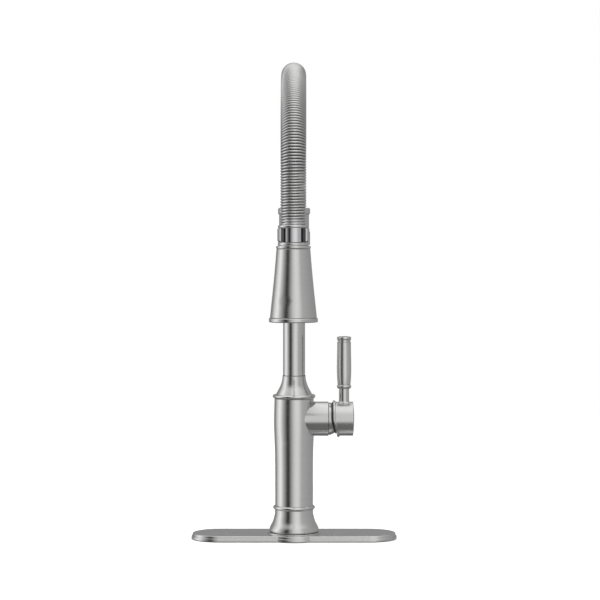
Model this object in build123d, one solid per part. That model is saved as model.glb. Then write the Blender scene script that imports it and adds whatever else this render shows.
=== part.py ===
from build123d import *
import os
from math import asin, atan2, cos, degrees, radians, sin, sqrt, tan

# Spring-spout pull-down kitchen faucet with a deck plate.
# The origin is where the faucet's upright axis meets the counter. +Z is up, the spout
# reaches forward along -Y, and the handle stands out to the right along +X.
# All sizes are in millimetres.

# Deck plate and gasket
PLATE_LENGTH = 266.7
PLATE_WIDTH = 71.5
BULGE_RADIUS = 41.2
TIER_INSET = 1.5
GASKET_TOP = 1.0
LOWER_TIER_TOP = 4.4
UPPER_TIER_TOP = 7.9
PAD_TOP = 9.3
PAD_RADIUS = 35.0
SHANK_HOLE_RADIUS = 17.4

# Mounting shank and supply tubes, below the counter
SHANK_RADIUS = 16.4
SHANK_BORE_RADIUS = 13.8
SHANK_BOTTOM = -60.0
TUBE_RADIUS = 3.2
TUBE_BORE_RADIUS = 2.1
TUBE_CIRCLE_RADIUS = 10.2
TUBE_TOP = 148.0
STUB_RADIUS = 4.0
STUB_TOP = -66.0
STUB_BOTTOM = -78.0

# Body
FLANGE_BOTTOM = 9.9
BODY_BOTTOM = 43.6
BODY_TOP = 182.35
BODY_RADIUS = 24.65
BODY_BORE_RADIUS = 20.7
NECK_TOP = 211.6

# Side valve and handle, on a level axis that leaves the body along +X
VALVE_Z = 155.75
BARREL_RADIUS = 22.2
BARREL_BORE_RADIUS = 17.9
BARREL_END = 44.7
PIVOT_X = 41.0
DOME_RADIUS = 21.7
DOME_WALL = 2.9
DOME_HOLE_RADIUS = 12.2
CARTRIDGE_FLOOR = 19.0
ROTOR_NECK_RADIUS = 8.2
STEM_HALF_WIDTH = 3.2
PIN_RADIUS = 1.6
HUB_RADIUS = 22.05
HUB_RIM_RADIUS = 23.85
HUB_RIM_WIDTH = 3.2
HUB_CAVITY_RADIUS = 22.1
HUB_MOUTH_X = 50.5
HUB_MOUTH_SLANT = 13.5
HUB_FACE = 76.7
HUB_CROWN = 78.2
HUB_TOP = VALVE_Z + HUB_RADIUS
LEVER_SEAT = 174.5
LEVER_FOOT_RADIUS = 9.6
WIPER_RADIUS = 23.2
WIPER_DEPTH = 1.6
LEVER_X = 65.0
LEVER_TOP = 263.1

# Spout: riser, arch and docking arm
REACH = 253.0
RISER_RADIUS = 14.3
RISER_BORE_RADIUS = 13.1
RISER_BOTTOM = 176.2
RISER_TOP = 418.0
SPRING_RADIUS = 15.3
SPRING_BORE_RADIUS = 12.4
SPRING_REAR_END = 420.0
SPRING_FRONT_END = 404.0
ARCH_BASE = 464.0
HOSE_RADIUS = 6.0
HOSE_BORE_RADIUS = 4.0
ARM_Z = 392.9
ARM_RADIUS = 5.9
ARM_HUB_RADIUS = 20.85
COLLAR_RADIUS = 19.45
SLEEVE_RADIUS = 15.2
SLEEVE_BOTTOM = 383.9
YOKE_RADIUS = 18.8
YOKE_FRONT = 9.5
LINER_RADIUS = 17.05
LINER_OPENING = 11.0
YOKE_BOTTOM = 385.2
YOKE_TOP = 400.6

# Wand, on an upright axis at the spout's reach
WAND_BOTTOM = 290.9
WAND_LIP_TOP = 296.0
WAND_TOP = 380.0
WAND_WALL = 1.8
BUTTON_Z = 331.0
BUTTON_HALF_HEIGHT = 15.0
BUTTON_HALF_WIDTH = 7.0
BUTTON_REST_TILT = 4.5
BUTTON_PIN_Y = 18.0

# Clearances
LOOSE = 0.1
RUNNING = 0.05

WAND_AXIS = Pos(0, -REACH, 0)
BARREL = Plane(origin=(0, 0, VALVE_Z), x_dir=(0, 1, 0), z_dir=(1, 0, 0))
ARM_AXIS = Plane(origin=(0, 0, ARM_Z), x_dir=(1, 0, 0), z_dir=(0, -1, 0))

# Port places on the valve's level axis, and the tube that feeds each one: (x, y, port z)
SIDE_ANGLE = radians(60)
MIXED_PORT = (TUBE_CIRCLE_RADIUS, 0.0, VALVE_Z + 5.3)
HOT_PORT = (TUBE_CIRCLE_RADIUS * cos(SIDE_ANGLE), -TUBE_CIRCLE_RADIUS * sin(SIDE_ANGLE), VALVE_Z - 5.7)
COLD_PORT = (HOT_PORT[0], -HOT_PORT[1], HOT_PORT[2])
PORTS = (MIXED_PORT, HOT_PORT, COLD_PORT)
PORT_RADIUS = 2.2


# ---- Ways of making solids ---------------------------------------------------------


def lathe(*edges):
    """Solid of revolution about Z from the edges of a closed (radius, height) outline."""
    return revolve(Plane.XZ * make_face(Curve() + list(edges)), Axis.Z)


def turned(*points):
    """Solid of revolution about Z from a closed polygon of (radius, height) points."""
    return lathe(Polyline(*points, close=True))


def tube(outer, inner, bottom, top):
    """Upright tube, or a rod where the inner radius is 0."""
    section = Circle(outer) - Circle(inner) if inner else Circle(outer)
    return Pos(0, 0, bottom) * extrude(section, top - bottom)


def block(x, y, z):
    """Box between two limits along each axis."""
    size = (x[1] - x[0], y[1] - y[0], z[1] - z[0])
    middle = (sum(x) / 2, sum(y) / 2, sum(z) / 2)
    return Pos(*middle) * Box(*size)


def ball(radius):
    """Ball about the point that the handle tilts and turns on, its seam towards the body."""
    return Pos(PIVOT_X, 0, VALVE_Z) * Rot(0, 0, 180) * Sphere(radius)


def bead(radius, root, bottom, top):
    """Half-round bead on a turned outline, from its lower root to its upper root."""
    return ThreePointArc((root, bottom), (radius, (bottom + top) / 2), (root, top))


def crown(radius, edge, top):
    """Shallow dome on a turned outline, from its edge up to the axis."""
    rise = top - edge
    sphere = (radius**2 + rise**2) / (2 * rise)
    half = asin(radius / sphere) / 2
    middle = (sphere * sin(half), top - sphere * (1 - cos(half)))
    return ThreePointArc((radius, edge), middle, (0, top))


def rounded_ring(outer, inner, bottom, top, edge):
    """Upright ring whose two outer edges are rounded."""
    ring = tube(outer, 0, bottom, top)
    return fillet(ring.edges(), edge) - tube(inner, 0, bottom - 1, top + 1)


# ---- Deck plate and base -----------------------------------------------------------


def plate_outline(inset):
    """Long rounded bar that bulges round its middle, moved inward by an inset."""
    bar = SlotOverall(PLATE_LENGTH - 2 * inset, PLATE_WIDTH - 2 * inset)
    return bar + Circle(BULGE_RADIUS - inset)


def softened(outline, bottom, top, edge):
    """Upright extrusion with its top edge rounded."""
    solid = Pos(0, 0, bottom) * extrude(outline, top - bottom)
    return fillet(solid.edges().group_by(Axis.Z)[-1], edge)


def make_deck_gasket():
    sheet = plate_outline(6.0) - Circle(SHANK_HOLE_RADIUS)
    return extrude(sheet, GASKET_TOP)


def make_deck_plate():
    """Two-tier plate, hollow underneath, with a raised seat for the body."""
    wall = 3.2
    plate = softened(plate_outline(0), GASKET_TOP, LOWER_TIER_TOP, 0.5)
    plate += softened(plate_outline(TIER_INSET), LOWER_TIER_TOP - 0.5, UPPER_TIER_TOP, 0.9)
    plate += softened(Circle(PAD_RADIUS), UPPER_TIER_TOP - 0.5, PAD_TOP, 0.5)
    plate -= extrude(plate_outline(wall) - Circle(PAD_RADIUS - wall), UPPER_TIER_TOP - 2.4)
    return plate - tube(SHANK_HOLE_RADIUS, 0, 0, PAD_TOP + 1)


def make_body_seals():
    """Ring between the plate's seat and the flange, and the ring inside the body."""
    under_flange = tube(31.4, SHANK_HOLE_RADIUS, PAD_TOP, FLANGE_BOTTOM)
    in_body = tube(BODY_BORE_RADIUS - LOOSE, 19.3, 51.8, 54.2)
    return Compound(children=[under_flange, in_body])


def make_mounting_shank():
    """Threaded shank below the counter, with a socket above that the body screws onto."""
    neck = SHANK_RADIUS - 0.4
    socket = BODY_BORE_RADIUS - LOOSE
    shank = turned(
        (SHANK_BORE_RADIUS, SHANK_BOTTOM),
        (SHANK_RADIUS - 1.0, SHANK_BOTTOM),
        (SHANK_RADIUS, SHANK_BOTTOM + 1.0),
        (SHANK_RADIUS, 0),
        (neck, 0),
        (neck, 24.0),
        (socket, 24.0),
        (socket, 60.0),
        (17.6, 60.0),
        (17.6, 32.0),
        (SHANK_BORE_RADIUS, 32.0),
    )
    return shank - tube(socket + 1, 19.2, 51.5, 54.5)


def make_base_flange():
    """Flared foot of the body, with a half-round bead at its top."""
    waist = 24.85
    foot = 32.3
    corner = FLANGE_BOTTOM + 1.6
    return lathe(
        Spline(
            (foot, corner),
            (30.4, 17.3),
            (27.0, 24.6),
            (25.5, 30.3),
            (waist, 34.8),
            tangents=[(-0.1, 1), (0, 1)],
        ),
        Line((waist, 34.8), (waist, 38.2)),
        bead(27.2, waist, 38.2, BODY_BOTTOM),
        Polyline(
            (waist, BODY_BOTTOM),
            (BODY_BORE_RADIUS, BODY_BOTTOM),
            (BODY_BORE_RADIUS, 24.0),
            (SHANK_HOLE_RADIUS, 24.0),
            (SHANK_HOLE_RADIUS, FLANGE_BOTTOM),
            (foot - 0.4, FLANGE_BOTTOM),
            (foot, corner),
        ),
    )


def make_body_shell():
    """Body tube that swells gently to the height of the side barrel."""
    shell = lathe(
        Line((BODY_RADIUS, BODY_BOTTOM), (BODY_RADIUS, 88.0)),
        Spline(
            (BODY_RADIUS, 88.0),
            (25.15, 120.0),
            (26.1, 152.0),
            (25.45, BODY_TOP - 0.6),
            tangents=[(0, 1), (-0.02, 1)],
        ),
        Polyline(
            (25.45, BODY_TOP - 0.6),
            (24.9, BODY_TOP),
            (BODY_BORE_RADIUS, BODY_TOP),
            (BODY_BORE_RADIUS, BODY_BOTTOM),
            (BODY_RADIUS, BODY_BOTTOM),
        ),
    )
    barrel = BARREL * tube(BARREL_RADIUS, 0, 0, BARREL_END)
    barrel = chamfer(barrel.edges().group_by(Axis.X)[-1], 0.4)
    shell += barrel - tube(BODY_BORE_RADIUS, 0, BODY_BOTTOM, BODY_TOP)
    return shell - BARREL * tube(BARREL_BORE_RADIUS, 0, 5.0, BARREL_END)


def make_neck_collar():
    """Bead and concave cone that close the body and hold the riser's bearing."""
    root = 24.9
    shoulder = 23.6
    bead_bottom = BODY_TOP + 0.35
    bead_top = 187.4
    lip = 15.0
    opening = RISER_RADIUS + 0.2
    bearing = 16.4
    return lathe(
        Line((root, BODY_TOP), (root, bead_bottom)),
        bead(27.75, root, bead_bottom, bead_top),
        Line((root, bead_top), (shoulder, bead_top)),
        Spline(
            (shoulder, bead_top),
            (20.65, 193.0),
            (16.95, 200.8),
            (15.6, 205.9),
            (lip, NECK_TOP),
            tangents=[(-0.5, 1), (0, 1)],
        ),
        Polyline(
            (lip, NECK_TOP),
            (opening, NECK_TOP),
            (opening, 198.6),
            (bearing, 198.6),
            (bearing, RISER_BOTTOM - 0.2),
            (BODY_BORE_RADIUS - LOOSE, RISER_BOTTOM - 0.2),
            (BODY_BORE_RADIUS - LOOSE, BODY_TOP),
            (root, BODY_TOP),
        ),
    )


# ---- Swivel bearing inside the neck ------------------------------------------------


def make_swivel_seat():
    return tube(20.4, 8.0, 173.6, RISER_BOTTOM - 0.4)


def make_riser_bushing():
    return tube(16.35, RISER_RADIUS + RUNNING, 179.6, 196.0)


def make_riser_seals():
    """Seal inside the neck, and the thin wiper ring at its lip."""
    seal = tube(16.35, RISER_RADIUS + RUNNING, 196.1, 198.4)
    wiper = tube(RISER_RADIUS + 0.45, RISER_RADIUS + RUNNING, NECK_TOP, NECK_TOP + 0.7)
    return Compound(children=[seal, wiper])


# ---- Valve -------------------------------------------------------------------------


def make_valve_body():
    """Brass casting: a block round the hose and a cup that holds the cartridge."""
    bottom = 140.0
    cup_end = 43.0
    section = (Circle(20.4) - Circle(7.0)) & Pos(20.8, 0) * Rectangle(40, 60)
    casting = Pos(0, 0, bottom) * extrude(section, 173.6 - bottom)
    casting += BARREL * tube(17.6, 0, 11.0, cup_end)
    casting -= BARREL * tube(15.2, 0, CARTRIDGE_FLOOR, cup_end)
    for x, y, z in PORTS:
        casting -= Pos(x, y, 0) * tube(TUBE_RADIUS + RUNNING, 0, bottom - 5, TUBE_TOP)
        casting -= Pos(x, y, 0) * tube(TUBE_BORE_RADIUS, 0, TUBE_TOP, z)
        port = Plane(origin=(x, y, z), z_dir=(1, 0, 0)) * Circle(PORT_RADIUS)
        casting -= extrude(port, CARTRIDGE_FLOOR - x)
    return casting


def make_supply_tube(port, has_stub):
    """Tube from under the counter up into the valve, with a wider push-fit end."""
    x, y, _ = port
    pipe = tube(TUBE_RADIUS, TUBE_BORE_RADIUS, STUB_TOP, TUBE_TOP)
    if has_stub:
        pipe += tube(STUB_RADIUS, TUBE_BORE_RADIUS, STUB_BOTTOM, STUB_TOP)
    return Pos(x, y, 0) * pipe


def at_ports(piece):
    """One copy of a piece of the cartridge at each of the three ports."""
    copies = [Pos(y, z - VALVE_Z, 0) * piece for _, y, z in PORTS]
    return copies[0] + copies[1:]


def make_cartridge_seals():
    return BARREL * at_ports(tube(4.2, 2.5, CARTRIDGE_FLOOR, 20.2))


def make_cartridge_housing():
    cup = turned(
        (0, 20.2),
        (15.0, 20.2),
        (15.0, 38.2),
        (ROTOR_NECK_RADIUS + RUNNING, 38.2),
        (ROTOR_NECK_RADIUS + RUNNING, 36.2),
        (13.3, 36.2),
        (13.3, 22.7),
        (0, 22.7),
    )
    return BARREL * (cup - at_ports(tube(2.4, 0, 20.0, 23.0)))


def make_fixed_disc():
    return BARREL * (tube(13.1, 0, 22.7, 25.7) - at_ports(tube(2.4, 0, 22.0, 26.0)))


def make_moving_disc():
    """Upper ceramic disc, whose shallow pocket joins the ports below it."""
    return BARREL * (tube(10.0, 0, 26.0, 29.0) - tube(7.0, 0, 26.0, 27.2))


def make_cartridge_rotor():
    """Turns with the handle, and carries the pin that the handle tilts on."""
    rotor = tube(12.8, 0, 29.0, 35.8) + tube(ROTOR_NECK_RADIUS, 0, 35.8, 45.5)
    slot = STEM_HALF_WIDTH + 0.3
    rotor -= block((-slot, slot), (-8.6, 8.6), (32.4, 46.0))
    pin_hole = Plane(origin=(-10, 0, PIVOT_X), z_dir=(1, 0, 0)) * Circle(PIN_RADIUS)
    return BARREL * (rotor - extrude(pin_hole, 20))


def make_lever_pin():
    pin = Plane(origin=(-8.0, 0, PIVOT_X), z_dir=(1, 0, 0)) * Circle(PIN_RADIUS)
    return BARREL * extrude(pin, 16.0)


def make_cartridge_nut():
    """Ring nut with a slot across its outer face for a spanner."""
    spanner_slot = block((-16, 16), (-2, 2), (41.0, 44.0))
    return BARREL * (tube(15.1, 9.0, 38.4, 43.0) - spanner_slot)


def make_bonnet_seal():
    return BARREL * tube(20.1, 17.8, BARREL_END, BARREL_END + 0.5)


def sphere_arc(radius, start, end):
    """Arc of a sphere about the handle's pivot in a (radius, distance) outline."""
    return CenterArc((0, PIVOT_X), radius, start, end - start)


def make_bonnet_dome():
    """Ball-shaped cover that the handle's hollow hub slides over."""
    base = BARREL_END + 0.5
    inner = DOME_RADIUS - DOME_WALL
    skirt = 17.7
    skirt_bore = 16.0
    outer_start = degrees(atan2(base - PIVOT_X, sqrt(DOME_RADIUS**2 - (base - PIVOT_X) ** 2)))
    outer_end = degrees(atan2(sqrt(DOME_RADIUS**2 - DOME_HOLE_RADIUS**2), DOME_HOLE_RADIUS))
    inner_start = degrees(atan2(sqrt(inner**2 - skirt_bore**2), skirt_bore))
    inner_end = degrees(atan2(sqrt(inner**2 - DOME_HOLE_RADIUS**2), DOME_HOLE_RADIUS))
    outside = sphere_arc(DOME_RADIUS, outer_start, outer_end)
    inside = sphere_arc(inner, inner_start, inner_end)
    return BARREL * lathe(
        outside,
        Line(outside @ 1, inside @ 1),
        inside,
        Polyline(inside @ 0, (skirt_bore, 43.2), (skirt, 43.2), (skirt, base), outside @ 0),
    )


# ---- Handle ------------------------------------------------------------------------


def make_cartridge_stem():
    side = STEM_HALF_WIDTH
    stem = block((34.0, 69.8), (-side, side), (VALVE_Z - side, VALVE_Z + side))
    hole = Plane(origin=(PIVOT_X, -10, VALVE_Z), z_dir=(0, 1, 0)) * Circle(PIN_RADIUS + RUNNING)
    return stem - extrude(hole, 20)


def beyond_mouth(offset):
    """All space outward of the hub's mouth, which is upright above the axis and slants back below it."""
    reach = 40.0
    start = HUB_MOUTH_X + offset
    slanted = start + reach * tan(radians(HUB_MOUTH_SLANT))
    mouth = FilletPolyline(
        (start, VALVE_Z + reach),
        (start, VALVE_Z),
        (slanted, VALVE_Z - reach),
        radius=18.0,
    )
    rest = Polyline(mouth @ 1, (130.0, VALVE_Z - reach), (130.0, VALVE_Z + reach), mouth @ 0)
    outline = Plane.XZ * make_face(Curve() + [mouth, rest])
    return extrude(outline, reach, both=True)


def make_handle_hub():
    """Hollow hub with a rounded rim, a crowned face and seats for the wiper, stem and lever."""
    corner = 0.7
    blank = BARREL * lathe(
        Polyline((0, 46.0), (HUB_RADIUS, 46.0), (HUB_RADIUS, HUB_FACE - corner)),
        ThreePointArc(
            (HUB_RADIUS, HUB_FACE - corner),
            (HUB_RADIUS - 0.2, HUB_FACE - 0.2),
            (HUB_RADIUS - corner, HUB_FACE),
        ),
        crown(HUB_RADIUS - corner, HUB_FACE, HUB_CROWN),
        Line((0, HUB_CROWN), (0, 46.0)),
    )
    rim = BARREL * tube(HUB_RIM_RADIUS, 0, 40.0, 70.0)
    rim = fillet((rim & beyond_mouth(0) - beyond_mouth(HUB_RIM_WIDTH)).edges(), 1.2)
    hub = (blank & beyond_mouth(0)) + rim
    hub -= ball(HUB_CAVITY_RADIUS)
    hub -= ball(WIPER_RADIUS + RUNNING) - beyond_mouth(WIPER_DEPTH)
    side = STEM_HALF_WIDTH + RUNNING
    hub -= block((60.0, 70.0), (-side, side), (VALVE_Z - side, VALVE_Z + side))
    hub -= Pos(LEVER_X, 0, 0) * tube(5.0, 0, 165.0, HUB_TOP + 4)
    hub -= Pos(LEVER_X, 0, 0) * tube(LEVER_FOOT_RADIUS + 0.15, 0, LEVER_SEAT, HUB_TOP + 4)
    return hub - Pos(LEVER_X, 0, 0) * tube(2.55, 0, 130.0, VALVE_Z)


def make_hub_wiper():
    """Rubber ring in the hub's mouth that sweeps over the dome."""
    ring = ball(WIPER_RADIUS) - ball(DOME_RADIUS + 0.3)
    return ring & beyond_mouth(-1.5) - beyond_mouth(WIPER_DEPTH - RUNNING)


def make_set_screw():
    """Grub screw that locks the hub on the stem, with a hexagon socket."""
    screw = tube(2.5, 0, 141.0, VALVE_Z - STEM_HALF_WIDTH - RUNNING)
    screw -= Pos(0, 0, 141.0) * extrude(RegularPolygon(1.3, 6), 2.5)
    return Pos(LEVER_X, 0, 0) * screw


def make_set_screw_cover():
    bottom = VALVE_Z - HUB_RADIUS + 0.2
    return Pos(LEVER_X, 0, 0) * tube(2.5, 0, bottom, bottom + 2.4)


def make_lever_stem():
    """Turned stem with a flared foot, and a thin core that carries the grip."""
    shaft = 6.6
    core = 4.5
    foot = LEVER_FOOT_RADIUS
    edge = LEVER_SEAT + 1.5
    root = edge + 3.5
    return Pos(LEVER_X, 0, 0) * lathe(
        Polyline((0, 165.5), (4.9, 165.5), (4.9, LEVER_SEAT), (foot, LEVER_SEAT), (foot, edge)),
        ThreePointArc((foot, edge), (7.5, edge + 1.3), (shaft, root)),
        Polyline((shaft, root), (shaft, 195.0), (core, 195.0), (core, 260.0), (0, 260.0), (0, 165.5)),
    )


def make_grip_collar():
    """Bead below the grip."""
    return Pos(LEVER_X, 0, 0) * lathe(
        Line((4.6, 195.0), (7.6, 195.0)),
        ThreePointArc((7.6, 195.0), (9.35, 197.6), (8.3, 199.8)),
        Polyline((8.3, 199.8), (4.6, 199.8), (4.6, 195.0)),
    )


def make_lever_grip():
    """Barrel-shaped grip, fullest a little above its middle."""
    return Pos(LEVER_X, 0, 0) * lathe(
        Spline((8.35, 200.2), (9.0, 208.0), (9.3, 230.0), (8.95, 255.2)),
        Polyline((8.95, 255.2), (4.6, 255.2), (4.6, 200.2), (8.35, 200.2)),
    )


def make_grip_cap():
    """Flat-topped button on the end of the lever, with a narrow groove below it."""
    rim = 9.3
    edge = rim - 0.3
    return Pos(LEVER_X, 0, 0) * lathe(
        Polyline((4.6, 255.6), (8.4, 255.6), (8.4, 258.2), (edge, 258.6)),
        bead(rim, edge, 258.6, 261.6),
        Line((edge, 261.6), (8.6, 262.3)),
        crown(8.6, 262.3, LEVER_TOP),
        Polyline((0, LEVER_TOP), (0, 260.2), (4.6, 260.2), (4.6, 255.6)),
    )


# ---- Spout -------------------------------------------------------------------------


def make_riser_tube():
    """Straight riser with a flange at its foot that the neck holds down."""
    flange = 16.0
    return turned(
        (RISER_BORE_RADIUS, RISER_BOTTOM),
        (flange, RISER_BOTTOM),
        (flange, 179.2),
        (RISER_RADIUS, 179.2),
        (RISER_RADIUS, RISER_TOP),
        (RISER_BORE_RADIUS, RISER_TOP),
    )


def make_rear_collar():
    """Collar on top of the riser that the spring's rear end stands in."""
    bottom = 399.7
    rim_bottom = 421.0
    top = 429.7
    collar = tube(COLLAR_RADIUS, RISER_RADIUS + LOOSE, bottom, RISER_TOP)
    collar += tube(COLLAR_RADIUS, SPRING_BORE_RADIUS - 0.4, RISER_TOP, SPRING_REAR_END)
    collar += tube(COLLAR_RADIUS, SPRING_RADIUS + LOOSE, SPRING_REAR_END, top - 1)
    return collar + rounded_ring(ARM_HUB_RADIUS, SPRING_RADIUS + LOOSE, rim_bottom, top, 1.9)


def arch(outer, inner, rear_bottom, front_bottom):
    """Upside-down U of tube: two upright legs joined by a half-circle arch."""
    radius = REACH / 2
    section = Circle(outer) - Circle(inner)
    bend = revolve(Pos(0, 0, ARCH_BASE) * section, Axis((0, -radius, ARCH_BASE), (1, 0, 0)), 180)
    piece = tube(outer, inner, rear_bottom, ARCH_BASE) + bend
    if front_bottom < ARCH_BASE:
        piece += WAND_AXIS * tube(outer, inner, front_bottom, ARCH_BASE)
    return piece


def make_spring():
    return arch(SPRING_RADIUS, SPRING_BORE_RADIUS, SPRING_REAR_END, SPRING_FRONT_END)


def make_spray_hose():
    return arch(HOSE_RADIUS, HOSE_BORE_RADIUS, STUB_TOP, ARCH_BASE)


def arm_bar():
    """Round bar that tapers from a foot at each end to a slim middle."""
    start = 19.0
    end = REACH - 17.5
    foot = 6.4
    waist = 5.0
    return ARM_AXIS * lathe(
        Line((0, start), (foot, start)),
        Spline(
            (foot, start),
            (waist, start + 22),
            (ARM_RADIUS, (start + end) / 2),
            (waist, end - 22),
            (foot, end),
            tangents=[(-0.2, 1), (0.2, 1)],
        ),
        Polyline((foot, end), (0, end), (0, start)),
    )


def make_docking_arm():
    """Hub ring on the riser, round bar, and open yoke that holds the docking sleeve."""
    hub = rounded_ring(ARM_HUB_RADIUS, RISER_RADIUS + LOOSE, 381.0, 399.4, 1.8)
    yoke = fillet(tube(YOKE_RADIUS, 0, YOKE_BOTTOM, YOKE_TOP).edges(), 1.5)
    yoke = WAND_AXIS * (yoke - block((-40, 40), (-40, -YOKE_FRONT), (380, 410)))
    bore = WAND_AXIS * tube(LINER_RADIUS, 0, 380, 410)
    screw_hole = Plane(origin=(0, 10, 390.2), z_dir=(0, 1, 0)) * Circle(2.0)
    return hub + (arm_bar() + yoke - bore) - extrude(screw_hole, 12)


def make_yoke_liner():
    """Black clip that lines the yoke and grips the sleeve past its widest point."""
    clip = tube(LINER_RADIUS, SLEEVE_RADIUS, SLEEVE_BOTTOM + 0.3, YOKE_TOP + 0.2)
    opening = block((-LINER_OPENING, LINER_OPENING), (-40, 0), (380, 410))
    return WAND_AXIS * (clip - opening)


def make_arm_set_screw():
    screw = Plane(origin=(0, RISER_RADIUS, 390.2), z_dir=(0, 1, 0)) * Circle(1.95)
    socket = Plane(origin=(0, 17.6, 390.2), z_dir=(0, 1, 0)) * RegularPolygon(1.0, 6)
    return extrude(screw, 5.4) - extrude(socket, 3.0)


def make_docking_sleeve():
    """Polished sleeve in the yoke: a flange for the spring above, a dock for the wand below."""
    flange = 18.2
    flange_bottom = 401.0
    seat = 9.6
    sleeve = lathe(
        Polyline(
            (seat, SLEEVE_BOTTOM),
            (SLEEVE_RADIUS - 0.4, SLEEVE_BOTTOM),
            (SLEEVE_RADIUS, SLEEVE_BOTTOM + 0.4),
            (SLEEVE_RADIUS, flange_bottom),
            (flange - 0.5, flange_bottom),
        ),
        bead(flange, flange - 0.5, flange_bottom, SPRING_FRONT_END - 0.1),
        Polyline(
            (flange - 0.5, SPRING_FRONT_END - 0.1),
            (SPRING_BORE_RADIUS - 0.3, SPRING_FRONT_END - 0.1),
            (SPRING_BORE_RADIUS - 0.3, 411.0),
            (9.0, 411.0),
            (9.0, 398.0),
            (seat, 398.0),
            (seat, SLEEVE_BOTTOM),
        ),
    )
    return WAND_AXIS * (sleeve - tube(14.3, 10.5, SLEEVE_BOTTOM, 389.0))


def make_dock_magnet():
    return WAND_AXIS * tube(14.2, 10.6, SLEEVE_BOTTOM + 0.2, 388.9)


def make_hose_guide():
    return WAND_AXIS * tube(8.95, HOSE_RADIUS + 0.35, 398.2, 411.0)


# ---- Hose end, which slides down with the wand -------------------------------------


def make_hose_front():
    return WAND_AXIS * tube(HOSE_RADIUS, HOSE_BORE_RADIUS, 362.0, ARCH_BASE - 0.3)


def make_hose_ferrule():
    return WAND_AXIS * tube(7.2, HOSE_RADIUS + RUNNING, 362.0, 371.5)


def make_swivel_stem():
    """Hollow stem whose flange turns inside the wand's socket."""
    return WAND_AXIS * turned(
        (3.0, 346.0),
        (5.0, 346.0),
        (5.0, 351.6),
        (8.95, 351.6),
        (8.95, 355.6),
        (7.2, 355.6),
        (7.2, 362.0),
        (3.0, 362.0),
    )


# ---- Wand --------------------------------------------------------------------------


def wand_side(offset):
    """Bell curve of the wand's side, moved outward by an offset."""
    return Spline(
        (27.45 + offset, 296.4),
        (25.3 + offset, 316.6),
        (22.9 + offset, 340.0),
        (20.8 + offset, 363.5),
        (19.9 + offset, 375.6),
    )


def make_wand_shell():
    """Bell-shaped shell with a rim at its top and a window for the spray button."""
    outside = wand_side(0)
    inside = wand_side(-WAND_WALL)
    shell = lathe(
        outside,
        Polyline(outside @ 1, (19.45, 375.9), (19.45, 376.3), (19.8, 376.5)),
        ThreePointArc((19.8, 376.5), (20.25, 378.0), (19.9, WAND_TOP)),
        Polyline((19.9, WAND_TOP), (9.9, WAND_TOP), (9.9, 378.2), (inside @ 1 + (0, 2.6)), inside @ 1),
        inside,
        Line(inside @ 0, outside @ 0),
    )
    half_width = BUTTON_HALF_WIDTH + 0.6
    half_height = BUTTON_HALF_HEIGHT + 1.0
    window = block((-half_width, half_width), (10, 40), (BUTTON_Z - half_height, BUTTON_Z + half_height))
    return WAND_AXIS * (shell - window)


def make_wand_lip():
    """Wide ring round the spray face."""
    return WAND_AXIS * rounded_ring(28.65, 25.4, WAND_BOTTOM, WAND_LIP_TOP, 1.2)


def make_wand_top_ring():
    return WAND_AXIS * lathe(
        Line((17.8, WAND_TOP + 0.1), (16.4, WAND_TOP + 0.1)),
        Line((16.4, WAND_TOP + 0.1), (16.4, 383.5)),
        Line((16.4, 383.5), (17.8, 383.5)),
        bead(18.25, 17.8, WAND_TOP + 0.1, 383.5),
    )


def make_strike_ring():
    return WAND_AXIS * tube(16.3, 10.1, WAND_TOP, 383.3)


def make_docking_cone():
    """Plastic cone on the wand that finds the bore of the docking sleeve."""
    bore = HOSE_RADIUS + 0.5
    return WAND_AXIS * turned(
        (bore, 372.0),
        (9.8, 372.0),
        (9.8, 383.3),
        (9.1, 383.6),
        (8.2, 396.0),
        (bore, 396.0),
    )


def make_wand_core():
    """Plastic waterway with the hose socket above and the spray plate below."""
    core = turned(
        (9.2, 295.6),
        (24.9, 295.6),
        (24.9, 298.6),
        (15.0, 306.0),
        (15.0, 356.0),
        (9.0, 356.0),
        (9.0, 343.5),
        (6.1, 343.5),
        (6.1, 329.0),
        (3.5, 329.0),
        (3.5, 312.0),
        (9.2, 300.2),
    )
    for side in (-1, 1):
        ear_x = sorted((side * 4.6, side * 7.8))
        core += block(ear_x, (12.5, 19.6), (BUTTON_Z - 2.5, BUTTON_Z + 2.5))
    core -= tube(6.1, 0, 329.0, 343.5)
    core -= button_axis() * Pos(0, 0, -10) * extrude(Circle(1.0), 20)
    return WAND_AXIS * (core - diverter(5.6, 18.0))


def diverter(radius, end):
    """Level cylinder across the waterway, behind the button's lower end."""
    section = Plane(origin=(0, -2.0, 320.5), z_dir=(0, 1, 0)) * Circle(radius)
    return extrude(section, end + 2.0)


def make_diverter_valve():
    return WAND_AXIS * diverter(5.5, 17.0)


def make_check_valve():
    return WAND_AXIS * (tube(6.0, 2.5, 330.0, 343.0) + tube(2.5, 0, 335.0, 339.0))


def make_swivel_retainer():
    return WAND_AXIS * tube(15.0, 7.6, 356.0, 360.0)


def button_axis():
    """Level axis, along X, that the spray button rocks on."""
    return Plane(origin=(0, BUTTON_PIN_Y, BUTTON_Z), x_dir=(0, 1, 0), z_dir=(1, 0, 0))


def make_button_pin():
    return WAND_AXIS * (button_axis() * Pos(0, 0, -7.6) * extrude(Circle(1.0), 15.2))


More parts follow.
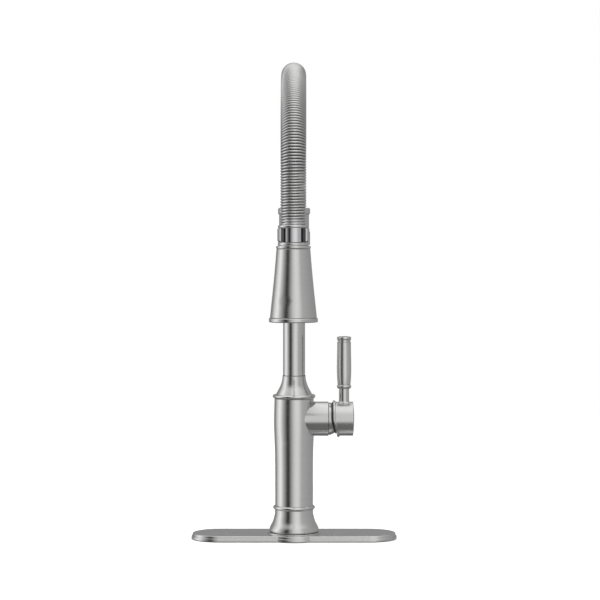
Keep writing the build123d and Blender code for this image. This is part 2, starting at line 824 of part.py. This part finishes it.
def make_spray_button():
    """Rocker that follows the wand's side, resting with its lower end pressed in."""
    outside = wand_side(0.9)
    inside = wand_side(-2.0)
    plate = lathe(outside, Line(outside @ 1, inside @ 1), inside, Line(inside @ 0, outside @ 0))
    plate &= block(
        (-BUTTON_HALF_WIDTH, BUTTON_HALF_WIDTH),
        (10, 40),
        (BUTTON_Z - BUTTON_HALF_HEIGHT, BUTTON_Z + BUTTON_HALF_HEIGHT),
    )
    plate += block((-4.2, 4.2), (BUTTON_PIN_Y - 2.2, 23.0), (BUTTON_Z - 2.2, BUTTON_Z + 2.2))
    plate -= button_axis() * Pos(0, 0, -10) * extrude(Circle(1.0 + RUNNING), 20)
    pivot = Pos(0, BUTTON_PIN_Y, BUTTON_Z)
    return WAND_AXIS * (pivot * Rot(-BUTTON_REST_TILT, 0, 0) * pivot.inverse() * plate)


def make_spray_face():
    return WAND_AXIS * tube(25.3, 9.2, 292.0, 295.5)


def make_spray_nozzles():
    """Rings of small rubber nubs on the spray face."""
    nub = Pos(0, 0, 291.6) * Cone(0.6, 0.95, 0.8)
    nubs = []
    for radius, count in ((12.5, 12), (16.5, 18), (20.5, 24)):
        nubs += [Rot(0, 0, 360 * i / count) * Pos(radius, 0, 0) * nub for i in range(count)]
    return WAND_AXIS * Compound(children=nubs)


def make_aerator_housing():
    return WAND_AXIS * tube(9.1, 7.6, 291.2, 300.0)


def make_aerator_screen():
    """Perforated insert that straightens the stream."""
    screen = Pos(0, 0, 292.4) * extrude(Circle(7.5), 1.6)
    for radius, count in ((0, 1), (2.6, 6), (5.3, 12)):
        for i in range(count):
            screen -= Rot(0, 0, 360 * i / count) * Pos(radius, 0, 293.2) * Cylinder(0.85, 3.0)
    return WAND_AXIS * screen


# ---- All pieces --------------------------------------------------------------------

PIECES = {
    "deck_gasket": make_deck_gasket,
    "deck_plate": make_deck_plate,
    "mounting_shank": make_mounting_shank,
    "body_seals": make_body_seals,
    "base_flange": make_base_flange,
    "body_shell": make_body_shell,
    "neck_collar": make_neck_collar,
    "swivel_seat": make_swivel_seat,
    "riser_bushing": make_riser_bushing,
    "riser_seals": make_riser_seals,
    "valve_body": make_valve_body,
    "hot_supply_tube": lambda: make_supply_tube(HOT_PORT, True),
    "cold_supply_tube": lambda: make_supply_tube(COLD_PORT, True),
    "mixed_outlet_tube": lambda: make_supply_tube(MIXED_PORT, False),
    "cartridge_seals": make_cartridge_seals,
    "cartridge_housing": make_cartridge_housing,
    "ceramic_disc_fixed": make_fixed_disc,
    "ceramic_disc_moving": make_moving_disc,
    "cartridge_rotor": make_cartridge_rotor,
    "lever_pivot_pin": make_lever_pin,
    "cartridge_nut": make_cartridge_nut,
    "bonnet_seal": make_bonnet_seal,
    "bonnet_dome": make_bonnet_dome,
    "cartridge_stem": make_cartridge_stem,
    "handle_hub": make_handle_hub,
    "hub_wiper": make_hub_wiper,
    "set_screw": make_set_screw,
    "set_screw_cover": make_set_screw_cover,
    "lever_stem": make_lever_stem,
    "grip_collar": make_grip_collar,
    "lever_grip": make_lever_grip,
    "grip_cap": make_grip_cap,
    "riser_tube": make_riser_tube,
    "rear_collar": make_rear_collar,
    "docking_arm": make_docking_arm,
    "arm_set_screw": make_arm_set_screw,
    "yoke_liner": make_yoke_liner,
    "docking_sleeve": make_docking_sleeve,
    "dock_magnet": make_dock_magnet,
    "hose_guide": make_hose_guide,
    "spring": make_spring,
    "spray_hose": make_spray_hose,
    "hose_front": make_hose_front,
    "hose_ferrule": make_hose_ferrule,
    "swivel_stem": make_swivel_stem,
    "wand_shell": make_wand_shell,
    "wand_lip": make_wand_lip,
    "wand_top_ring": make_wand_top_ring,
    "strike_ring": make_strike_ring,
    "docking_cone": make_docking_cone,
    "wand_core": make_wand_core,
    "swivel_retainer": make_swivel_retainer,
    "check_valve": make_check_valve,
    "diverter_valve": make_diverter_valve,
    "button_pin": make_button_pin,
    "spray_button": make_spray_button,
    "spray_face": make_spray_face,
    "spray_nozzles": make_spray_nozzles,
    "aerator_housing": make_aerator_housing,
    "aerator_screen": make_aerator_screen,
}

os.makedirs("parts", exist_ok=True)
for name, make in PIECES.items():
    export_step(make(), os.path.join("parts", name + ".step"))
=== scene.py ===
from math import cos, pi, radians, sin, tau

import bpy
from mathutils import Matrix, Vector


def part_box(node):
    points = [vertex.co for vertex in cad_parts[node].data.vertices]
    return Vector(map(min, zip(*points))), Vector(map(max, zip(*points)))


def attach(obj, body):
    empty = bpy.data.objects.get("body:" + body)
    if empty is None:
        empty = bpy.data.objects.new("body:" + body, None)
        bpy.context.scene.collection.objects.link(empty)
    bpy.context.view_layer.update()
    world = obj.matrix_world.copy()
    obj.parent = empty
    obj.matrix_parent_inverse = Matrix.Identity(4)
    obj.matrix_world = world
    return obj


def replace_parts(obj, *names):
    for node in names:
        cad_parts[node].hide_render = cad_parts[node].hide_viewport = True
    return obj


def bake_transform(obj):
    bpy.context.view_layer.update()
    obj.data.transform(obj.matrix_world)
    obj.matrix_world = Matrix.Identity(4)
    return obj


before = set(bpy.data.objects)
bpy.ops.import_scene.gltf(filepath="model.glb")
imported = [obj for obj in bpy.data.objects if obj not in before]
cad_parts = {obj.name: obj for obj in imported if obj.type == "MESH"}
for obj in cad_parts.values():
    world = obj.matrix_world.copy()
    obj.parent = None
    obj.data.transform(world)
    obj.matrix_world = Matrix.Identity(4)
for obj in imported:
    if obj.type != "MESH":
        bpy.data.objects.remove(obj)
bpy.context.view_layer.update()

# Looks of a spring-spout kitchen faucet: +Z up, the spout reaches along -Y, the handle
# stands out along +X. Every place and size below comes from the frame, in metres.

MM = 0.001


# ---- Places taken from the frame -----------------------------------------------------


def middle(node):
    """Centre of a CAD node's box."""
    low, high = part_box(node)
    return (low + high) / 2


WAND_PLACE = middle("wand_lip")
LEVER_PLACE = middle("lever_grip")
BARREL_PLACE = middle("cartridge_nut")
ARM_PLACE = Vector((0.0, 0.0, middle("arm_set_screw").z))
REACH = -WAND_PLACE.y


# ---- Node helpers --------------------------------------------------------------------


def add(tree, kind, inputs=None, **settings):
    """One node, with its settings and its inputs set or linked."""
    node = tree.nodes.new("ShaderNode" + kind)
    for key, value in settings.items():
        setattr(node, key, value)
    for key, value in (inputs or {}).items():
        if isinstance(value, bpy.types.NodeSocket):
            tree.links.new(value, node.inputs[key])
        else:
            node.inputs[key].default_value = value
    return node


def maths(tree, operation, first, second=0.0, third=0.0):
    """Result of one Math node."""
    inputs = {0: first, 1: second, 2: third}
    return add(tree, "Math", inputs, operation=operation).outputs[0]


def remap(tree, value, low, high, new_low, new_high, smooth=False):
    """Value moved from one range to another and held inside it."""
    inputs = {"Value": value, "From Min": low, "From Max": high, "To Min": new_low, "To Max": new_high}
    kind = "SMOOTHSTEP" if smooth else "LINEAR"
    return add(tree, "MapRange", inputs, interpolation_type=kind, clamp=True).outputs["Result"]


def noise(tree, vector, scale, detail=3.0, roughness=0.5):
    """Value of a noise texture."""
    inputs = {"Vector": vector, "Scale": scale, "Detail": detail, "Roughness": roughness}
    return add(tree, "TexNoise", inputs).outputs["Fac"]


def tinted(tree, colour, amount):
    """A colour made lighter or darker by a factor about 1."""
    return add(tree, "VectorMath", {0: colour, "Scale": amount}, operation="SCALE").outputs["Vector"]


def new_material(name):
    """An empty node material: its tree, its Principled shader and the object's own coordinates."""
    material = bpy.data.materials.new(name)
    material.use_nodes = True
    tree = material.node_tree
    tree.nodes.clear()
    shader = add(tree, "BsdfPrincipled")
    output = add(tree, "OutputMaterial")
    tree.links.new(shader.outputs["BSDF"], output.inputs["Surface"])
    place = add(tree, "TexCoord").outputs["Object"]
    return material, tree, shader, place


def ring_vector(tree, place, centre, axis, across, along):
    """Coordinates that draw a noise out into rings about an axis through a centre."""
    local = add(tree, "VectorMath", {0: place, 1: centre}, operation="SUBTRACT").outputs["Vector"]
    parts = add(tree, "SeparateXYZ", {"Vector": local}).outputs
    length = parts[axis]
    first, second = [parts[name] for name in "XYZ" if name != axis]
    flat = add(tree, "CombineXYZ", {"X": first, "Y": second}).outputs["Vector"]
    round_it = add(tree, "VectorMath", {0: flat}, operation="NORMALIZE").outputs["Vector"]
    spread = add(tree, "VectorMath", {0: round_it, "Scale": across}, operation="SCALE").outputs["Vector"]
    lines = add(tree, "CombineXYZ", {"Z": maths(tree, "MULTIPLY", length, along)}).outputs["Vector"]
    return add(tree, "VectorMath", {0: spread, 1: lines}, operation="ADD").outputs["Vector"]


def line_vector(tree, place, stretch):
    """Coordinates that draw a noise out into straight lines."""
    return add(tree, "VectorMath", {0: place, 1: stretch}, operation="MULTIPLY").outputs["Vector"]


# ---- Materials -----------------------------------------------------------------------


def metal(name, colour, roughness, vectors, grain=0.06, bump=0.12, edge=0.35):
    """Satin metal: fine and coarse brush lines, faint cloudiness and softly rounded edges."""
    material, tree, shader, place = new_material(name)
    fine_vector, coarse_vector = vectors(tree, place)
    fine = noise(tree, fine_vector, 1.0, 2.0)
    coarse = noise(tree, coarse_vector, 1.0, 3.0)
    cloud = noise(tree, place, 28.0, 3.0)
    lines = maths(tree, "ADD", maths(tree, "MULTIPLY", fine, 0.6), maths(tree, "MULTIPLY", coarse, 0.4))
    tone = maths(tree, "ADD", maths(tree, "MULTIPLY", lines, 0.7), maths(tree, "MULTIPLY", cloud, 0.3))
    shade = remap(tree, tone, 0.3, 0.7, 1.0 - grain, 1.0 + grain)
    tree.links.new(tinted(tree, colour, shade), shader.inputs["Base Color"])
    shine = remap(tree, tone, 0.3, 0.7, roughness - 0.05, roughness + 0.05)
    tree.links.new(shine, shader.inputs["Roughness"])
    shader.inputs["Metallic"].default_value = 1.0
    rounded = add(tree, "Bevel", {"Radius": edge * MM}, samples=4).outputs["Normal"]
    relief = add(tree, "Bump", {"Strength": bump, "Distance": 0.05 * MM, "Height": lines, "Normal": rounded})
    tree.links.new(relief.outputs["Normal"], shader.inputs["Normal"])
    return material


def turned_metal(name, colour, roughness, centre, axis, **looks):
    """Metal brushed on a lathe, its lines running round an axis."""

    def vectors(tree, place):
        fine = ring_vector(tree, place, centre, axis, 5.0, 2600.0)
        coarse = ring_vector(tree, place, centre, axis, 2.0, 420.0)
        return fine, coarse

    return metal(name, colour, roughness, vectors, **looks)


def straight_metal(name, colour, roughness, along, **looks):
    """Metal brushed in straight lines along one axis."""
    fine = [60.0 if axis == along else 2600.0 for axis in "XYZ"]
    coarse = [12.0 if axis == along else 420.0 for axis in "XYZ"]

    def vectors(tree, place):
        return line_vector(tree, place, fine), line_vector(tree, place, coarse)

    return metal(name, colour, roughness, vectors, **looks)


def polished_metal(name, colour):
    """Mirror plating with a faint haze."""
    material, tree, shader, place = new_material(name)
    haze = noise(tree, place, 160.0, 4.0)
    tree.links.new(tinted(tree, colour, remap(tree, haze, 0.3, 0.7, 0.97, 1.0)), shader.inputs["Base Color"])
    tree.links.new(remap(tree, haze, 0.3, 0.7, 0.03, 0.07), shader.inputs["Roughness"])
    shader.inputs["Metallic"].default_value = 1.0
    return material


def moulded(name, colour, roughness, scale, bump, variation=0.08):
    """Plastic, rubber or ceramic: a fine skin texture and a slight change of tone."""
    material, tree, shader, place = new_material(name)
    skin = noise(tree, place, scale, 4.0)
    cloud = noise(tree, place, scale / 14.0, 2.0)
    shade = remap(tree, cloud, 0.3, 0.7, 1.0 - variation, 1.0 + variation)
    tree.links.new(tinted(tree, colour, shade), shader.inputs["Base Color"])
    gloss = remap(tree, skin, 0.3, 0.7, roughness - 0.07, roughness + 0.07)
    tree.links.new(gloss, shader.inputs["Roughness"])
    rounded = add(tree, "Bevel", {"Radius": 0.25 * MM}, samples=4).outputs["Normal"]
    relief = add(tree, "Bump", {"Strength": bump, "Distance": 0.08 * MM, "Height": skin, "Normal": rounded})
    tree.links.new(relief.outputs["Normal"], shader.inputs["Normal"])
    return material


def braided(name, colour, centre):
    """Hose sleeve whose flat strands cross at a slant round an upright axis."""
    material, tree, shader, place = new_material(name)
    local = add(tree, "VectorMath", {0: place, 1: centre}, operation="SUBTRACT").outputs["Vector"]
    parts = add(tree, "SeparateXYZ", {"Vector": local}).outputs
    angle = maths(tree, "MULTIPLY", maths(tree, "ARCTAN2", parts["Y"], parts["X"]), 12.0)
    climb = maths(tree, "MULTIPLY", parts["Z"], tau / (3.2 * MM))
    left = maths(tree, "SINE", maths(tree, "ADD", angle, climb))
    right = maths(tree, "SINE", maths(tree, "SUBTRACT", angle, climb))
    weave = maths(tree, "MULTIPLY", left, right)
    shade = remap(tree, weave, -1.0, 1.0, 0.55, 1.25)
    tree.links.new(tinted(tree, colour, shade), shader.inputs["Base Color"])
    tree.links.new(remap(tree, weave, -1.0, 1.0, 0.55, 0.35), shader.inputs["Roughness"])
    relief = add(tree, "Bump", {"Strength": 0.6, "Distance": 0.3 * MM, "Height": weave})
    tree.links.new(relief.outputs["Normal"], shader.inputs["Normal"])
    return material


STEEL = (0.60, 0.60, 0.595)
BRASS = (0.62, 0.45, 0.20)

upright_steel = turned_metal("steel_upright", STEEL, 0.19, (0, 0, 0), "Z")
wand_steel = turned_metal("steel_wand", STEEL, 0.21, WAND_PLACE, "Z")
lever_steel = turned_metal("steel_lever", STEEL, 0.20, LEVER_PLACE, "Z")
barrel_steel = turned_metal("steel_barrel", STEEL, 0.24, BARREL_PLACE, "X")
arm_steel = turned_metal("steel_arm", STEEL, 0.24, ARM_PLACE, "Y")
plate_steel = straight_metal("steel_plate", STEEL, 0.24, "X")
wire_steel = turned_metal("steel_wire", STEEL, 0.24, (0, -REACH / 2, 0), "X", grain=0.012)
hardware_steel = moulded("steel_hardware", (0.35, 0.35, 0.36), 0.35, 900.0, 0.2)
hardware_steel.node_tree.nodes["Principled BSDF"].inputs["Metallic"].default_value = 1.0
chrome = polished_metal("chrome", (0.62, 0.62, 0.63))
upright_brass = turned_metal("brass_upright", BRASS, 0.3, (0, 0, 0), "Z")
barrel_brass = turned_metal("brass_barrel", BRASS, 0.3, BARREL_PLACE, "X")
copper = turned_metal("copper_tube", (0.66, 0.33, 0.20), 0.32, (0, 0, 0), "Z", grain=0.1)
black_rubber = moulded("rubber", (0.02, 0.02, 0.02), 0.7, 700.0, 0.3)
nozzle_rubber = moulded("nozzle_rubber", (0.06, 0.06, 0.065), 0.6, 900.0, 0.2)
white_plastic = moulded("white_plastic", (0.75, 0.75, 0.72), 0.45, 600.0, 0.15, 0.03)
# Near-black plastic. On the yoke liner its colour is painted shadow in the recess between the yoke and the
# docking sleeve.
dark_plastic = moulded("dark_plastic", (0.035, 0.035, 0.038), 0.42, 800.0, 0.25)
ceramic = moulded("ceramic", (0.85, 0.83, 0.78), 0.3, 1200.0, 0.05, 0.03)
ferrite = moulded("ferrite", (0.08, 0.08, 0.085), 0.5, 1100.0, 0.3)
hose_braid = braided("hose_braid", (0.32, 0.32, 0.33), WAND_PLACE)

LOOKS = {
    upright_steel: ("base_flange", "body_shell", "neck_collar", "riser_tube", "rear_collar"),
    wand_steel: ("wand_shell", "wand_lip", "wand_top_ring"),
    lever_steel: ("lever_stem", "grip_collar", "lever_grip", "grip_cap"),
    barrel_steel: ("bonnet_dome", "handle_hub"),
    arm_steel: ("docking_arm",),
    plate_steel: ("deck_plate",),
    hardware_steel: (
        "lever_pivot_pin", "set_screw", "arm_set_screw", "hose_ferrule", "strike_ring", "button_pin",
    ),
    chrome: ("docking_sleeve",),
    upright_brass: ("mounting_shank", "swivel_seat", "swivel_stem"),
    barrel_brass: ("valve_body", "cartridge_nut", "cartridge_stem"),
    copper: ("hot_supply_tube", "cold_supply_tube", "mixed_outlet_tube"),
    black_rubber: ("deck_gasket", "body_seals", "riser_seals", "cartridge_seals", "bonnet_seal"),
    nozzle_rubber: ("spray_nozzles",),
    white_plastic: (
        "riser_bushing", "cartridge_housing", "cartridge_rotor", "hose_guide", "wand_core",
        "swivel_retainer", "check_valve", "diverter_valve", "aerator_screen",
    ),
    # yoke_liner's near-black colour paints the shadow in the recess between the yoke and the docking sleeve;
    # the other parts listed here are dark plastic.
    dark_plastic: (
        "hub_wiper", "yoke_liner", "set_screw_cover", "docking_cone", "spray_button", "spray_face",
        "aerator_housing",
    ),
    ceramic: ("ceramic_disc_fixed", "ceramic_disc_moving"),
    ferrite: ("dock_magnet",),
    hose_braid: ("spray_hose", "hose_front", "spring"),
}
for material, nodes in LOOKS.items():
    for node in nodes:
        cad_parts[node].data.materials.clear()
        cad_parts[node].data.materials.append(material)


# ---- Pieces made here ----------------------------------------------------------------


def mesh_piece(name, points, faces, material):
    """A smooth mesh object."""
    mesh = bpy.data.meshes.new(name)
    mesh.from_pydata(points, [], faces)
    mesh.polygons.foreach_set("use_smooth", [True] * len(faces))
    mesh.materials.append(material)
    piece = bpy.data.objects.new(name, mesh)
    bpy.context.scene.collection.objects.link(piece)
    return piece


def swept_faces(rings, sides):
    """Faces that join rings of points into a closed rod."""
    faces = []
    for ring in range(rings - 1):
        for side in range(sides):
            after = (side + 1) % sides
            start = ring * sides
            faces.append((start + side, start + after, start + sides + after, start + sides + side))
    faces.append(tuple(reversed(range(sides))))
    faces.append(tuple(range((rings - 1) * sides, rings * sides)))
    return faces


def make_spring():
    """Close-wound coil that follows the riser, the arch and the front leg, its ends ground flat."""
    low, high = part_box("spring")
    outer = (high.x - low.x) / 2
    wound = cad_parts["spring"].data.vertices
    rear_end = min(point.co.z for point in wound if point.co.y > -REACH / 2)
    front_end = low.z
    wire = 1.45 * MM
    pitch = 3.27 * MM
    steps = 28
    sides = 10
    bend = REACH / 2
    base = high.z - bend - outer
    rear_leg = base - rear_end
    total = rear_leg + pi * bend + base - front_end
    across = Vector((-1, 0, 0))

    def station(length):
        """Centre, outward direction and heading at a length along the path."""
        if length < rear_leg:
            return Vector((0, 0, rear_end + length)), Vector((0, 1, 0)), Vector((0, 0, 1))
        turn = (length - rear_leg) / bend
        if turn < pi:
            outward = Vector((0, cos(turn), sin(turn)))
            return Vector((0, -bend, base)) + bend * outward, outward, Vector((0, -sin(turn), cos(turn)))
        drop = length - rear_leg - pi * bend
        return Vector((0, -REACH, base - drop)), Vector((0, -1, 0)), Vector((0, 0, -1))

    points = []
    start = -0.6 * wire
    turns = (total - 2 * start) / pitch
    rings = round(turns * steps) + 1
    for ring in range(rings):
        share = ring / (rings - 1)
        length = start + share * (total - 2 * start)
        centre, outward, heading = station(min(max(length, 0), total))
        angle = tau * turns * share
        radial = outward * cos(angle) + across * sin(angle)
        clamped = min(max(length, 0), total)
        for side in range(sides):
            slant = tau * side / sides
            along = min(max(length + wire * sin(slant), 0), total) - clamped
            points.append(centre + radial * (outer - wire + wire * cos(slant)) + heading * along)
    coil = mesh_piece("spring_coil", points, swept_faces(rings, sides), wire_steel)
    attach(coil, "spout")
    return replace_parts(coil, "spring")


def make_hose():
    """Braided hose between the fixed spring and the wand."""
    low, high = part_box("hose_front")
    radius = (high.x - low.x) / 2
    sides = 28
    rings = 60
    points = []
    for ring in range(rings):
        height = low.z + (high.z - low.z) * ring / (rings - 1)
        for side in range(sides):
            turn = tau * side / sides
            points.append((radius * cos(turn), -REACH + radius * sin(turn), height))
    hose = mesh_piece("front_hose", points, swept_faces(rings, sides), hose_braid)
    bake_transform(hose)
    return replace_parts(hose, "hose_front")


make_spring()
make_hose()


# ---- Floor, light and camera ---------------------------------------------------------


def stage_mesh(name, points, faces, material):
    """A flat-shaded mesh for the studio round the object, such as the floor or the backdrop."""
    mesh = bpy.data.meshes.new(name)
    mesh.from_pydata(points, [], faces)
    mesh.materials.append(material)
    piece = bpy.data.objects.new(name, mesh)
    bpy.context.scene.collection.objects.link(piece)
    return piece


def floor_material(solid, faded):
    """Plain pale floor that fades out far from the object."""
    material = bpy.data.materials.new("floor")
    material.use_nodes = True
    tree = material.node_tree
    tree.nodes.clear()
    place = add(tree, "TexCoord").outputs["Object"]
    away = add(tree, "VectorMath", {0: place}, operation="LENGTH").outputs["Value"]
    paper = add(tree, "BsdfDiffuse", {"Color": (0.9, 0.9, 0.9, 1.0)}).outputs["BSDF"]
    clear = add(tree, "BsdfTransparent").outputs["BSDF"]
    fade = remap(tree, away, solid, faded, 0.0, 1.0, smooth=True)
    mixed = add(tree, "MixShader", {0: fade, 1: paper, 2: clear}).outputs["Shader"]
    output = add(tree, "OutputMaterial")
    tree.links.new(mixed, output.inputs["Surface"])
    return material


def glow_material(name, strength):
    """Plain glowing surface."""
    material = bpy.data.materials.new(name)
    material.use_nodes = True
    tree = material.node_tree
    tree.nodes.clear()
    glow = add(tree, "Emission", {"Color": (1, 1, 1, 1), "Strength": strength}).outputs["Emission"]
    output = add(tree, "OutputMaterial")
    tree.links.new(glow, output.inputs["Surface"])
    return material


def make_floor():
    size = 3.0
    corners = [(-size, -size, 0), (size, -size, 0), (size, size, 0), (-size, size, 0)]
    floor = stage_mesh("floor", corners, [(0, 1, 2, 3)], floor_material(0.9, 2.4))
    floor.visible_glossy = False


def make_backdrop():
    """Round white surroundings that only the camera sees."""
    radius = 9.0
    rows = 16
    columns = 32
    points = []
    for row in range(rows + 1):
        lift = pi * (row / rows - 0.5)
        for column in range(columns):
            turn = tau * column / columns
            level = radius * cos(lift)
            points.append((level * cos(turn), level * sin(turn), radius * sin(lift)))
    faces = []
    for row in range(rows):
        for column in range(columns):
            after = (column + 1) % columns
            start = row * columns
            faces.append((start + column, start + after, start + columns + after, start + columns + column))
    backdrop = stage_mesh("backdrop", points, faces, glow_material("backdrop", 1.0))
    backdrop.visible_glossy = False
    backdrop.visible_diffuse = False
    backdrop.visible_shadow = False
    backdrop.visible_transmission = False


# Brightness of the studio round the object: degrees from the front, to the left if negative
SURROUND = (
    (-180, 0.33), (-135, 0.33), (-110, 1.0), (-90, 1.4), (-68, 0.66), (-54, 0.33), (-41, 0.04),
    (-32, 0.03), (-25, 0.2), (-15, 0.5), (0, 0.9), (15, 1.08), (28, 1.0), (47, 0.6), (90, 0.5), (180, 0.33),
)


CEILING_GLOW = 1.25
TABLE_GLOW = 0.2


def make_world():
    """Studio of soft panels: upright light and dark bands, a bright ceiling and a dark table."""
    world = bpy.data.worlds.new("studio")
    bpy.context.scene.world = world
    world.use_nodes = True
    tree = world.node_tree
    tree.nodes.clear()
    direction = add(tree, "TexCoord").outputs["Generated"]
    parts = add(tree, "SeparateXYZ", {"Vector": direction}).outputs
    ahead = maths(tree, "MULTIPLY", parts["Y"], -1.0)
    turn = maths(tree, "ARCTAN2", parts["X"], ahead)
    share = remap(tree, turn, -pi, pi, 0.0, 1.0)
    ramp = add(tree, "ValToRGB", {"Fac": share})
    points = ramp.color_ramp.elements
    while len(points) > 1:
        points.remove(points[-1])
    points[0].position = 0.0
    brightest = max(level for _, level in SURROUND)
    for index, (degrees_round, level) in enumerate(SURROUND):
        point = points[0] if index == 0 else points.new((degrees_round + 180) / 360)
        shade = level / brightest
        point.color = (shade, shade, shade, 1.0)
    bands = maths(tree, "MULTIPLY", ramp.outputs["Color"], brightest)
    ceiling = remap(tree, parts["Z"], 0.5, 0.95, 0.0, 1.0, smooth=True)
    table = remap(tree, parts["Z"], -0.2, -0.5, 0.0, 1.0, smooth=True)
    lit = maths(tree, "ADD", maths(tree, "MULTIPLY", bands, maths(tree, "SUBTRACT", 1.0, ceiling)),
                maths(tree, "MULTIPLY", ceiling, CEILING_GLOW))
    level = maths(tree, "ADD", maths(tree, "MULTIPLY", lit, maths(tree, "SUBTRACT", 1.0, table)),
                  maths(tree, "MULTIPLY", table, TABLE_GLOW))
    background = add(tree, "Background", {"Color": (1, 1, 1, 1), "Strength": level}).outputs["Background"]
    output = add(tree, "OutputWorld")
    tree.links.new(background, output.inputs["Surface"])


def make_area_light(name, place, aim, size, power):
    """Soft square light that points at the object."""
    data = bpy.data.lights.new(name, "AREA")
    data.size = size
    data.energy = power
    lamp = bpy.data.objects.new(name, data)
    bpy.context.scene.collection.objects.link(lamp)
    lamp.location = place
    lamp.rotation_euler = (Vector(aim) - Vector(place)).to_track_quat("-Z", "Y").to_euler()
    lamp.visible_glossy = False
    return lamp


def make_camera():
    """Level product view from the front, a little above the middle of the faucet."""
    data = bpy.data.cameras.new("camera")
    data.sensor_width = 36.0
    data.lens = 114.0
    data.shift_y = -0.085
    data.clip_end = 50.0
    camera = bpy.data.objects.new("camera", data)
    bpy.context.scene.collection.objects.link(camera)
    camera.location = (7.7 * MM, -2.471, 0.3764)
    camera.rotation_euler = (radians(90), 0, 0)
    bpy.context.scene.camera = camera


make_floor()
make_backdrop()
make_world()
make_area_light("overhead", (0.0, -0.3, 2.6), (0, 0, 0.2), 2.4, 60.0)
make_camera()
bpy.context.scene.view_settings.view_transform = "Standard"
